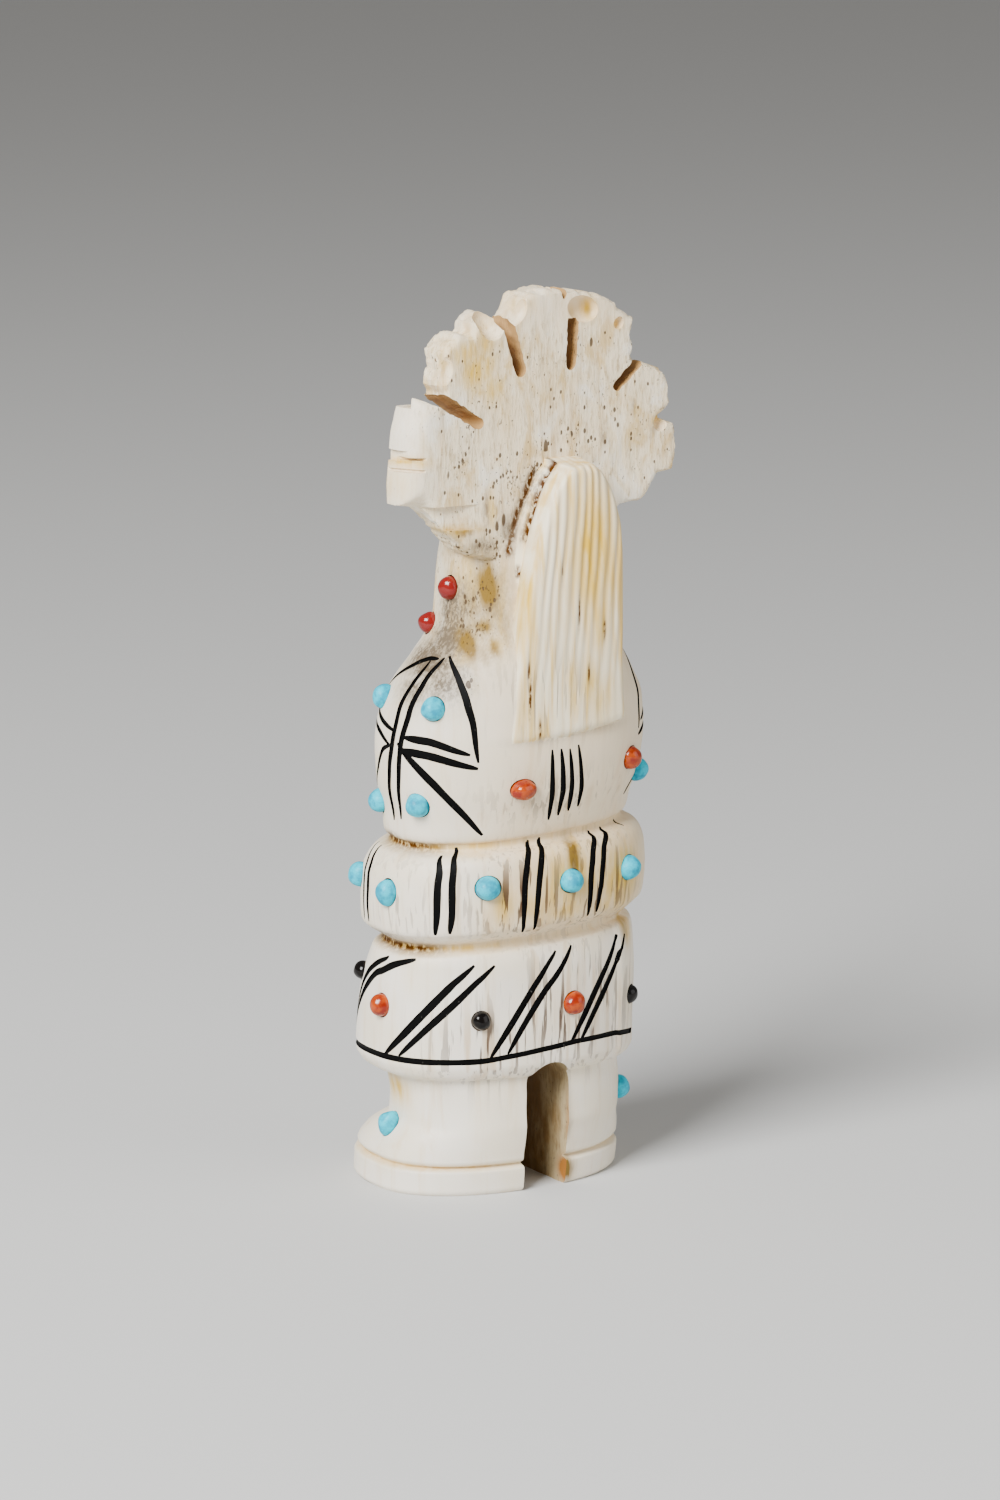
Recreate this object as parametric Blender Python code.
"""Standing figure with a rayed headdress, cut from one length of antler and set with small stones.

The figure faces -Y, its own left is +X, and it stands on z = 0. All dimensions below are in
millimetres and degrees; MM turns them into Blender's metres.
"""

import math

import bmesh
import bpy
from mathutils import Matrix, Vector

MM = 0.001

# ---- driving dimensions -----------------------------------------------------------------------

RING_SIDES = 42

# The figure's outline by height: (height, half width, depth behind the axis, depth before it,
# axis offset to the figure's left, axis offset to the back).
BODY_SECTIONS = (
    (0.0, 12.9, 8.5, 12.0, 0.8, -0.7),
    (0.4, 13.35, 8.85, 12.45, 0.7, -0.7),
    (2.35, 13.4, 8.9, 12.5, 0.6, -0.6),
    (2.7, 12.6, 8.2, 11.8, 0.6, -0.6),
    (2.9, 12.6, 8.2, 11.8, 0.6, -0.6),
    (3.4, 13.15, 8.65, 12.25, 0.5, -0.5),
    (4.6, 12.9, 8.6, 11.9, 0.3, -0.2),
    (5.8, 12.4, 8.5, 10.1, 0.1, 0.1),
    (6.9, 12.0, 8.4, 8.4, -0.3, 0.4),
    (9.0, 12.0, 8.3, 8.2, -0.4, 0.4),
    (11.2, 12.1, 8.3, 8.3, -0.2, 0.3),
    (11.8, 12.6, 8.6, 8.9, 0.0, 0.1),
    (12.5, 13.8, 9.6, 10.4, 0.2, -0.2),
    (13.5, 14.3, 10.0, 11.0, 0.2, -0.2),
    (17.0, 14.35, 9.9, 10.8, 0.2, 0.0),
    (20.5, 14.2, 9.6, 10.3, 0.1, 0.3),
    (23.0, 13.9, 9.3, 9.8, 0.0, 0.6),
    (25.1, 13.4, 8.75, 9.2, 0.0, 0.8),
    (25.5, 12.6, 8.0, 8.5, 0.0, 0.8),
    (26.2, 12.6, 8.0, 8.5, 0.0, 0.8),
    (27.1, 13.95, 9.35, 9.85, 0.0, 0.9),
    (27.8, 14.6, 9.9, 10.4, 0.0, 0.9),
    (30.5, 14.8, 10.1, 10.6, 0.0, 1.0),
    (32.8, 14.65, 10.0, 10.5, 0.0, 1.1),
    (34.2, 14.15, 9.65, 10.1, 0.0, 1.3),
    (35.2, 13.2, 8.9, 9.4, 0.0, 1.4),
    (35.6, 12.1, 8.0, 8.5, 0.0, 1.4),
    (36.3, 12.1, 8.0, 8.5, 0.0, 1.4),
    (36.7, 12.5, 8.4, 9.0, 0.0, 1.4),
    (38.5, 12.75, 8.8, 9.4, 0.0, 1.6),
    (41.5, 13.5, 9.4, 10.0, 0.0, 1.9),
    (45.5, 13.8, 9.6, 10.2, 0.0, 2.3),
    (49.0, 13.3, 9.5, 9.8, 0.0, 2.6),
    (51.5, 12.0, 9.2, 9.2, 0.0, 3.0),
    (53.6, 10.6, 8.7, 8.4, 0.0, 3.4),
    (55.6, 9.2, 8.1, 7.6, 0.0, 3.5),
    (57.6, 8.4, 7.4, 7.0, 0.0, 3.5),
    (62.0, 8.0, 6.4, 6.8, 0.0, 3.5),
    (66.0, 7.4, 5.6, 6.4, 0.0, 3.5),
    (68.4, 6.2, 4.7, 5.4, 0.0, 3.5),
    (69.6, 4.2, 3.2, 3.7, 0.0, 3.5),
)
BACK_SQUARENESS = 2.2  # superellipse exponents of the two halves of a section
FRONT_SQUARENESS = 2.45
BELT_TILT = 0.06  # the belt and waist climb towards the figure's right, mm per mm
BELT_TILT_SPAN = (22.0, 25.0, 37.0, 42.0)

# Legs.
LEG_SLOT_WIDTH = 5.0
LEG_SLOT_CENTRE = -0.35
LEG_SLOT_TOP = 13.2
LEG_SLOT_REACH = 20.0
LEG_SLOT_STEPS = 8

# Headdress: a slab across the back of the head, its rim cut into rays.
FAN_CENTRE = (-0.5, 72.6)
FAN_BACK = 8.3
FAN_FRONT = 4.0
FAN_RIM_INSET = 1.0
# The rim as (bearing from upright towards the figure's right, radius from the centre).
FAN_RIM = (
    (150, 9.6), (131, 9.4), (119, 9.6), (112, 11.7), (108, 12.2), (98, 12.9), (96, 14.7),
    (87, 15.1), (78, 15.1), (76, 14.3), (73.4, 13.1), (72.2, 14.2), (70.8, 15.1), (62, 15.9),
    (57, 15.8), (48, 14.3), (44, 13.9), (43, 14.7), (38.5, 15.5), (36, 17.1), (28, 17.0),
    (27, 17.4), (20, 17.4), (11, 17.15), (0, 17.25), (-9.5, 16.95), (-11.5, 15.9), (-16.5, 14.8),
    (-24.5, 16.8), (-30, 16.6), (-32.5, 15.6), (-37, 16.8), (-45, 16.6), (-49, 15.3), (-54.5, 14.8),
    (-56, 13.9), (-59, 13.5), (-60.5, 14.7), (-61.5, 15.8), (-63, 16.4), (-66, 16.2),
    (-76, 16.0), (-86, 15.8), (-94, 16.0), (-101, 16.2), (-104, 14.1), (-107.5, 13.5),
    (-118, 12.7), (-128, 12.3), (-134, 12.0), (-158, 10.6), (-180, 9.8),
)
# Saw cuts between the rays: (x and z of the inner end, bearing, width there and a ray away, lean,
# length).
FAN_SLOTS = (
    (6.9, 76.88, -58.5, 1.1, 1.6, 0.12, 12.0),
    (2.5, 81.4, -16.5, 1.25, 1.3, 0.0, 12.0),
    (-3.0, 81.7, 4.0, 1.1, 1.4, 0.0, 5.3),
    (-2.25, 88.65, 6.0, 0.15, 6.5, 0.0, 3.0),
    (-8.0, 79.5, 47.5, 1.0, 1.2, 0.0, 12.0),
)
RAY_LENGTH = 8.0
# Filed hollows on the rim's back edge: (bearing, radius to the middle, half width, half length, depth).
FAN_HOLLOWS = (
    (-17.0, 16.0, 2.3, 1.8, 1.2),
    (-24.5, 15.8, 1.5, 2.0, 2.3),
    (14.5, 15.5, 1.75, 1.3, 1.1),
    (30.8, 15.6, 0.55, 0.65, 0.6),
    (76.0, 13.3, 0.8, 0.8, 1.0),
    (-52.0, 15.8, 1.9, 1.6, 1.1),
)
# Saw cuts into the left end: (x where each starts, height, width, turn about upright).
FAN_SIDE_CUTS = ((13.6, 73.55, 1.4, 28.0), (13.2, 74.1, 0.3, 28.0), (13.3, 72.95, 0.3, 28.0),
                 (14.7, 74.3, 1.15, 0.0), (7.2, 68.15, 2.4, 76.0), (15.5, 79.55, 1.3, -45.0))
SIDE_CUT_REACH = 8.0
CUT_OVERRUN = 2.0  # how far a cutter runs past each face

# Hair: a rounded slab down the back, from the headdress to between the shoulders.
# Its outline by height: (height, left side, right side).
HAIR_SIDES = (
    (45.0, 5.9, -7.7),
    (50.7, 5.4, -7.2),
    (55.5, 4.6, -7.0),
    (60.0, 4.0, -6.95),
    (63.6, 3.3, -6.95),
    (66.5, 2.55, -6.7),
    (69.0, 1.7, -6.1),
    (70.9, 0.9, -5.3),
    (72.1, 0.1, -4.45),
    (72.9, -0.6, -3.5),
)
HAIR_BACK = 12.7
HAIR_FRONT = 5.0
HAIR_BOTTOM = (45.4, 47.4)  # at its left and its right
HAIR_TOP = 72.9
HAIR_FLARE = 0.2  # how far its left flank slants out on its way down to what it stands on
HAIR_BULGE = 0.5  # how far the back falls away towards its sides
HAIR_EDGE = 0.7  # how far its outermost edge is drawn in
HAIR_ACROSS, HAIR_UP = 12, 12

# Nose on the plain front of the face.
NOSE_TOP, NOSE_BOTTOM, NOSE_REACH, NOSE_TIP = 65.0, 61.2, 1.5, 0.4

# Stones: radius, how round each is set, and where. A place is (height, bearing), as in body_point.
STONE_GAP = 0.16  # clearance between a stone and its seat
STONE_SINK = -0.05  # how far a stone's middle lies under the surface
SEAT_SIDES = 10
SEAT_RISE = 2.0  # how far a seat's cutter stands out of the surface
SEAT_TAPER = (0.8, 1.02)  # its radii at the bottom and at the top, as shares of the bore
STONES = {
    "turquoise": {"radius": 1.28, "colour": (0.02, 0.40, 0.54), "roughness": 0.28},
    "coral": {"radius": 1.2, "colour": (0.42, 0.045, 0.010), "roughness": 0.16},
    "jet": {"radius": 1.0, "colour": (0.003, 0.0025, 0.002), "roughness": 0.12},
}
STONE_PLACES = {
    ("left_shoulder", "turquoise"): ((49.5, 340.5), (49.5, 26.0), (39.3, 340.0), (40.0, 20.0)),
    ("right_shoulder", "turquoise"): ((49.5, 190.0), (49.5, 224.0), (39.3, 210.0), (41.0, 150.0)),
    ("belt", "turquoise"): (
        (32.1, 336.0), (31.7, 9.0), (32.2, 62.0), (31.6, 94.7), (31.3, 127.0),
        (31.4, 189.0), (31.4, 218.0), (31.4, 247.0), (31.6, 276.0), (31.8, 305.0),
    ),
    ("boot", "turquoise"): ((6.2, 355.5), (7.9, 160.0)),
    ("ear", "coral"): ((60.7, 3.5), (60.7, 176.5)),
    ("neck", "coral"): ((56.7, 341.0), (54.6, 270.0), (56.7, 199.0)),
    ("back", "coral"): ((41.4, 75.0), (43.0, 131.5)),
    ("front", "coral"): ((41.8, 252.0), (41.8, 288.0)),
    ("skirt", "coral"): ((19.1, 5.0), (19.0, 99.5), (19.1, 181.0), (18.4, 243.0), (18.8, 303.0)),
    ("skirt", "jet"): ((21.3, 335.0), (18.2, 61.5), (18.3, 139.0), (20.4, 207.0), (18.4, 273.0)),
}

# Stones that aren't round: share of the radius across and up.
STONE_STRETCH = {
    "back_coral_1": (1.22, 0.92),
    "boot_turquoise_1": (0.88, 1.15),
    "belt_turquoise_2": (0.94, 1.08),
    "belt_turquoise_3": (1.1, 0.95),
    "belt_turquoise_4": (1.08, 0.94),
    "skirt_coral_2": (1.08, 1.0),
}

# ---- helpers ----------------------------------------------------------------------------------


def superpower(value, exponent):
    return math.copysign(abs(value) ** exponent, value)


def row_at(rows, height):
    """The sizes at a height, read between the two nearest rows."""
    if height <= rows[0][0]:
        return rows[0][1:]
    for low, high in zip(rows, rows[1:]):
        if height <= high[0]:
            share = (height - low[0]) / (high[0] - low[0])
            return tuple(a + (b - a) * share for a, b in zip(low[1:], high[1:]))
    return rows[-1][1:]


def body_point(height, bearing):
    """A point of the figure's outside; the bearing runs from its left (0) by its back (90)."""
    half_width, behind, before, aside, back = row_at(BODY_SECTIONS, height)
    across, along = math.cos(bearing), math.sin(bearing)
    squareness = BACK_SQUARENESS if along >= 0 else FRONT_SQUARENESS
    depth = behind if along >= 0 else before
    x = aside + half_width * superpower(across, 2 / squareness)
    y = back + depth * superpower(along, 2 / squareness)
    start, full, hold, end = BELT_TILT_SPAN
    rise = max(0.0, min((height - start) / (full - start), (end - height) / (end - hold), 1.0))
    return Vector((x, y, height - x * BELT_TILT * rise))


def body_normal(height, bearing):
    step = 0.02
    round_it = body_point(height, bearing + step) - body_point(height, bearing - step)
    up_it = body_point(height + 0.4, bearing) - body_point(height - 0.4, bearing)
    return round_it.cross(up_it).normalized()


def collection_named(name):
    collection = bpy.data.collections.new(name)
    bpy.context.scene.collection.children.link(collection)
    return collection


def material_named(name, colour, roughness):
    material = bpy.data.materials.new(name)
    material.use_nodes = True
    shader = material.node_tree.nodes["Principled BSDF"]
    shader.inputs["Base Color"].default_value = (*colour, 1.0)
    shader.inputs["Roughness"].default_value = roughness
    shader.inputs["Metallic"].default_value = 0.0
    return material


def object_from(shape, name, collection, material=None):
    """Scales a bmesh from millimetres to metres and makes it an object."""
    bmesh.ops.scale(shape, vec=(MM, MM, MM), verts=shape.verts)
    bmesh.ops.recalc_face_normals(shape, faces=shape.faces)
    mesh = bpy.data.meshes.new(name)
    shape.to_mesh(mesh)
    shape.free()
    obj = bpy.data.objects.new(name, mesh)
    collection.objects.link(obj)
    if material:
        mesh.materials.append(material)
    return obj


def make_cutter(obj):
    obj.hide_render = True
    obj.display_type = "WIRE"
    return obj


def boolean(target, other, operation):
    modifier = target.modifiers.new(f"{operation.title()} {other.name}", "BOOLEAN")
    modifier.operation = operation
    modifier.object = other


def extruded(outline, front, back, inset, centre):
    """A slab between two depths whose outline is drawn in X and Z, its rims drawn in by inset."""
    shape = bmesh.new()
    layers = ((front, inset), (front + inset, 0.0), (back - inset, 0.0), (back, inset))
    rings = []
    for depth, drawn_in in layers:
        ring = []
        for x, z in outline:
            offset = Vector((x - centre[0], 0.0, z - centre[1]))
            offset *= 1 - drawn_in / offset.length
            ring.append(shape.verts.new((centre[0] + offset.x, depth, centre[1] + offset.z)))
        rings.append([shape.edges.new(pair) for pair in zip(ring, ring[1:] + ring[:1])])
    for lower, upper in zip(rings, rings[1:]):
        bmesh.ops.bridge_loops(shape, edges=lower + upper)
    for ring in (rings[0], rings[-1]):
        bmesh.ops.contextual_create(shape, geom=ring)
    return shape


def polar(bearing, radius, centre):
    """A point on the headdress; the bearing runs from upright towards the figure's right."""
    angle = math.radians(bearing)
    return centre[0] - radius * math.sin(angle), centre[1] + radius * math.cos(angle)


# ---- the carving ------------------------------------------------------------------------------


def body_shape():
    """Boots, skirt, belt, torso and head: one ring extruded from height to height."""
    shape = bmesh.new()
    bearings = [math.tau * i / RING_SIDES for i in range(RING_SIDES)]
    bmesh.ops.create_circle(shape, cap_ends=False, radius=1.0, segments=RING_SIDES)
    ring = list(shape.verts)
    bottom = list(shape.edges)
    edges = bottom
    for number, section in enumerate(BODY_SECTIONS):
        if number:
            made = bmesh.ops.extrude_edge_only(shape, edges=edges)["geom"]
            edges = [item for item in made if isinstance(item, bmesh.types.BMEdge)]
            ring = following_ring(ring, made)
        for vertex, bearing in zip(ring, bearings):
            vertex.co = body_point(section[0], bearing)
    bmesh.ops.contextual_create(shape, geom=bottom)
    bmesh.ops.contextual_create(shape, geom=edges)
    return shape


def following_ring(ring, made):
    """The extruded vertices, in the order of the ring that they came from."""
    new = {item for item in made if isinstance(item, bmesh.types.BMVert)}
    return [next(edge.other_vert(v) for edge in v.link_edges if edge.other_vert(v) in new) for v in ring]


def fan_shape():
    outline = [polar(bearing, radius, FAN_CENTRE) for bearing, radius in FAN_RIM]
    return extruded(outline, FAN_FRONT, FAN_BACK, FAN_RIM_INSET, FAN_CENTRE)


def fan_slot(x, z, bearing, inner_width, rim_width, lean, length):
    """A wedge that cuts right through the headdress between two rays; it may lean as it goes in."""
    angle = math.radians(bearing)
    outward = Vector((-math.sin(angle), 0.0, math.cos(angle)))
    across = Vector((-math.cos(angle), 0.0, -math.sin(angle)))
    end_width = inner_width + (rim_width - inner_width) * length / RAY_LENGTH
    corners = ((0.0, -inner_width), (length, -end_width), (length, end_width), (0.0, inner_width))
    shape = bmesh.new()
    rings = []
    for depth in (FAN_FRONT - CUT_OVERRUN, FAN_BACK + CUT_OVERRUN):
        middle = Vector((x, depth, z)) + across * lean * (depth - FAN_BACK)
        ring = [shape.verts.new(middle + outward * along + across * width / 2) for along, width in corners]
        rings.append([shape.edges.new(pair) for pair in zip(ring, ring[1:] + ring[:1])])
    bmesh.ops.bridge_loops(shape, edges=rings[0] + rings[1])
    for ring in rings:
        bmesh.ops.contextual_create(shape, geom=ring)
    return shape


def hair_shape():
    """A slab with a gently domed back and a round top, cut off slanting at the bottom."""
    shape = bmesh.new()
    bmesh.ops.create_grid(shape, x_segments=HAIR_ACROSS, y_segments=HAIR_UP, size=1.0)
    for vertex in shape.verts:
        side, rise = vertex.co.x, (vertex.co.y + 1) / 2
        vertex.co = hair_point(side, 1 - (1 - rise) ** 1.6)
    made = bmesh.ops.extrude_face_region(shape, geom=list(shape.faces))["geom"]
    for item in made:
        if isinstance(item, bmesh.types.BMVert):
            leftness = max(0.0, item.co.x / HAIR_SIDES[0][1])
            item.co.x += HAIR_FLARE * (item.co.y - HAIR_FRONT) * leftness
            item.co.y = HAIR_FRONT
    return shape


def hair_point(side, rise):
    """A point on the hair's back: side from -1 to 1 across, rise from 0 to 1 up."""
    bottom = HAIR_BOTTOM[0] + (HAIR_BOTTOM[1] - HAIR_BOTTOM[0]) * (1 - side) / 2
    height = bottom + (HAIR_TOP - bottom) * rise
    left, right = row_at(HAIR_SIDES, height)
    depth = HAIR_BACK - HAIR_BULGE * abs(side) ** 3
    if max(abs(side), rise) > 0.999:
        depth -= HAIR_EDGE
    return Vector(((left + right) / 2 + side * (left - right) / 2, depth, height))


def leg_slot_shape():
    """A round-topped slot that parts the legs from front to back."""
    shape = bmesh.new()
    half = LEG_SLOT_WIDTH / 2
    arc = [math.pi * i / LEG_SLOT_STEPS for i in range(LEG_SLOT_STEPS + 1)]
    outline = [(LEG_SLOT_CENTRE + half, -1.0)]
    outline += [
        (LEG_SLOT_CENTRE + half * math.cos(a), LEG_SLOT_TOP - half + half * math.sin(a)) for a in arc
    ]
    outline += [(LEG_SLOT_CENTRE - half, -1.0)]
    face = shape.faces.new([shape.verts.new((x, -LEG_SLOT_REACH, z)) for x, z in outline])
    made = bmesh.ops.extrude_face_region(shape, geom=[face])["geom"]
    moved = [item for item in made if isinstance(item, bmesh.types.BMVert)]
    bmesh.ops.translate(shape, verts=moved, vec=(0.0, 2 * LEG_SLOT_REACH, 0.0))
    return shape


def nose_shape():
    shape = bmesh.new()
    bmesh.ops.create_cone(
        shape, cap_ends=True, segments=4,
        radius1=NOSE_REACH, radius2=NOSE_TIP, depth=NOSE_TOP - NOSE_BOTTOM,
    )
    front = body_point((NOSE_TOP + NOSE_BOTTOM) / 2, -math.pi / 2)
    bmesh.ops.translate(shape, verts=shape.verts, vec=front)
    return shape


def hollow_shape(bearing, radius, half_width, half_length, depth):
    """An egg-shaped scoop, its long way pointing out from the headdress's centre."""
    x, z = polar(bearing, radius, FAN_CENTRE)
    shape = bmesh.new()
    bmesh.ops.create_icosphere(shape, subdivisions=2, radius=1.0)
    bmesh.ops.scale(shape, vec=(half_width, depth, half_length), verts=shape.verts)
    bmesh.ops.rotate(shape, matrix=Matrix.Rotation(-math.radians(bearing), 3, "Y"), verts=shape.verts)
    bmesh.ops.translate(shape, vec=(x, FAN_BACK, z), verts=shape.verts)
    return shape


def side_cut_shape(x, height, width, turn):
    """A saw cut into the rim, through its back edge only when it is turned."""
    shape = bmesh.new()
    bmesh.ops.create_cube(shape, size=1.0)
    bmesh.ops.scale(shape, vec=(SIDE_CUT_REACH, SIDE_CUT_REACH * 2, width), verts=shape.verts)
    bmesh.ops.translate(shape, vec=(SIDE_CUT_REACH / 2, 0.0, 0.0), verts=shape.verts)
    bmesh.ops.rotate(shape, matrix=Matrix.Rotation(math.radians(turn), 3, "Z"), verts=shape.verts)
    bmesh.ops.translate(shape, vec=(x, FAN_BACK, height), verts=shape.verts)
    return shape


def stone_frame(height, bearing, sink):
    """The turn and place of a stone set square to the surface, its middle sunk by a depth."""
    angle = math.radians(bearing)
    normal = body_normal(height, angle)
    turn = normal.to_track_quat("Z", "Y").to_matrix().to_4x4()
    return Matrix.Translation(body_point(height, angle) - normal * sink) @ turn


def stone_shape(radius, frame):
    shape = bmesh.new()
    bmesh.ops.create_icosphere(shape, subdivisions=2, radius=radius)
    bmesh.ops.transform(shape, matrix=frame, verts=shape.verts)
    return shape


def seat_shape(radius, frame):
    """A drilled hole that holds the lower half of a stone with its clearance all round."""
    bore = radius + STONE_GAP
    low, high = (bore * share for share in SEAT_TAPER)
    depth = bore + SEAT_RISE
    shape = bmesh.new()
    bmesh.ops.create_cone(shape, cap_ends=True, segments=SEAT_SIDES, radius1=low, radius2=high, depth=depth)
    bmesh.ops.translate(shape, vec=(0.0, 0.0, (SEAT_RISE - bore) / 2), verts=shape.verts)
    bmesh.ops.transform(shape, matrix=frame, verts=shape.verts)
    return shape


def build_stones(parts, seats):
    """Each stone is a node; each seat is a cutter for the carving."""
    for (place, kind), spots in STONE_PLACES.items():
        look = STONES[kind]
        material = bpy.data.materials.get(kind) or material_named(kind, look["colour"], look["roughness"])
        for number, (height, bearing) in enumerate(spots, start=1):
            name = f"{place}_{kind}_{number}"
            across, up = STONE_STRETCH.get(name, (1.0, 1.0))
            frame = stone_frame(height, bearing, STONE_SINK) @ Matrix.Diagonal((across, up, 1.0, 1.0))
            stone = object_from(stone_shape(look["radius"], frame), name, parts, material)
            for polygon in stone.data.polygons:
                polygon.use_smooth = True
            make_cutter(object_from(seat_shape(look["radius"], frame), f"Seat {name}", seats))


def build_carving(parts, cutters, seats):
    antler = material_named("antler", (0.83, 0.76, 0.64), 0.42)
    carving = object_from(body_shape(), "carving", parts, antler)
    for name, shape in (("Headdress", fan_shape()), ("Hair", hair_shape()), ("Nose", nose_shape())):
        boolean(carving, make_cutter(object_from(shape, name, cutters)), "UNION")
    boolean(carving, make_cutter(object_from(leg_slot_shape(), "Leg slot", cutters)), "DIFFERENCE")
    rim_cuts = [(f"Ray slot {n}", fan_slot(*slot)) for n, slot in enumerate(FAN_SLOTS, start=1)]
    rim_cuts += [(f"Hollow {n}", hollow_shape(*hollow)) for n, hollow in enumerate(FAN_HOLLOWS, start=1)]
    rim_cuts += [(f"Side cut {n}", side_cut_shape(*cut)) for n, cut in enumerate(FAN_SIDE_CUTS, start=1)]
    for name, shape in rim_cuts:
        boolean(carving, make_cutter(object_from(shape, name, cutters)), "DIFFERENCE")
    drilled = carving.modifiers.new("Stone seats", "BOOLEAN")
    drilled.operation = "DIFFERENCE"
    drilled.operand_type = "COLLECTION"
    drilled.collection = seats
    for polygon in carving.data.polygons:
        polygon.use_smooth = True
    return carving


def main():
    for obj in list(bpy.data.objects):
        bpy.data.objects.remove(obj, do_unlink=True)
    parts = collection_named("Fetish carving")
    cutters = collection_named("Cutters")
    seats = bpy.data.collections.new("Seats")
    cutters.children.link(seats)
    build_stones(parts, seats)
    build_carving(parts, cutters, seats)


main()
